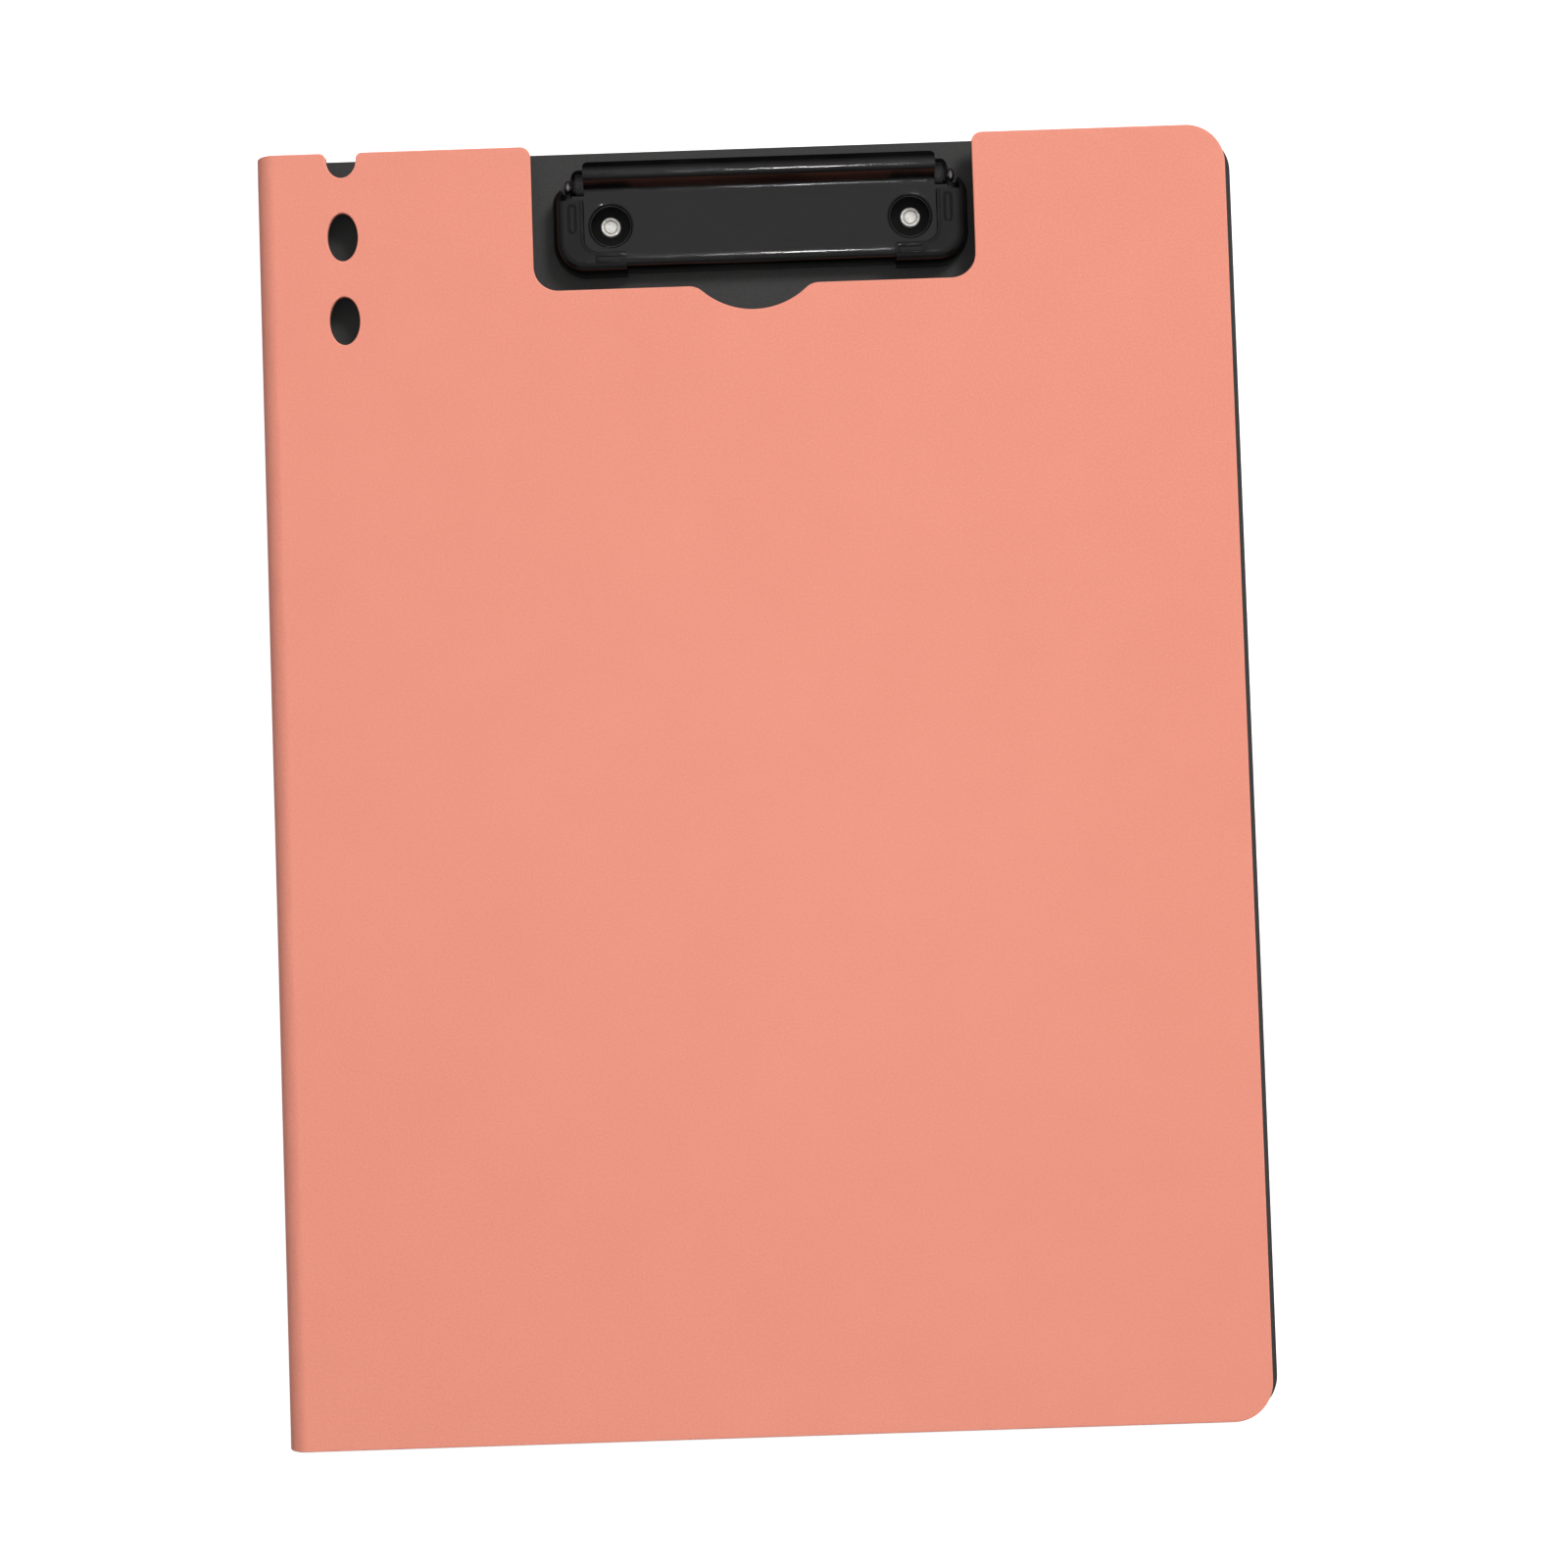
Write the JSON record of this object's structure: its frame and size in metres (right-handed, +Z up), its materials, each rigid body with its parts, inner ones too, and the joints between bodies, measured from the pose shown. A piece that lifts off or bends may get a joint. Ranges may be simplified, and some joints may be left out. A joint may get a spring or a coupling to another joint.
{
  "type": "folding clipboard",
  "caption": "Folding A4 clipboard: coral cover on a round spine with living hinges, dark writing board, sprung black lever clip in a window of the cover, oval pen slots.",
  "frame": {"origin": "middle of the back face, on the surface that the closed folder lies on", "axes": "+Z up through the closed folder, +Y towards the head where the clip is, +X towards the free edge, away from the spine"},
  "size_m": [0.24, 0.315, 0.0122],
  "materials": {
    "coral_sheet": "fine frosted grain, polypropylene sheet",
    "dark_sheet": "fine matt grain, dark grey polypropylene",
    "black_paint": "gloss black coating on stamped steel",
    "black_plastic": "moulded black plastic, semi-gloss",
    "spring_steel": "drawn bright wire",
    "nickel": "bright nickel plate"
  },
  "bodies": {
    "back": {"back_cover": "coral_sheet", "writing_board": "dark_sheet", "clip_base_plate": "black_paint", "pivot_rod": "spring_steel", "left_rivet": "nickel", "right_rivet": "nickel", "left_torsion_spring": "spring_steel", "right_torsion_spring": "spring_steel"},
    "spine": {"spine_cover": "coral_sheet", "spine_lining": "dark_sheet", "front_crease": "coral_sheet", "back_crease": "coral_sheet"},
    "front": {"front_cover": "coral_sheet", "front_lining": "dark_sheet"},
    "jaw": {"clip_jaw_plate": "black_paint", "left_corner_pad": "black_plastic", "right_corner_pad": "black_plastic"}
  },
  "joints": [
    {"name": "spine_fold", "type": "hinge", "parent": "back", "child": "spine", "pos_m": [-0.11643, 0, 0.00047], "axis": [0, -1, 0], "range_deg": [0, 180], "deforming": ["back_crease"]},
    {"name": "cover_fold", "type": "hinge", "parent": "spine", "child": "front", "pos_m": [-0.11643, 0, 0.00953], "axis": [0, -1, 0], "range_deg": [0, 180], "deforming": ["front_crease"]},
    {"name": "jaw_open", "type": "hinge", "parent": "back", "child": "jaw", "pos_m": [0.0035, 0.1481, 0.0058], "axis": [-1, 0, 0], "range_deg": [0, 25], "stiffness_Nm_per_rad": 0.2, "springref_deg": -57.3, "deforming": ["left_torsion_spring", "right_torsion_spring"]}
  ]
}
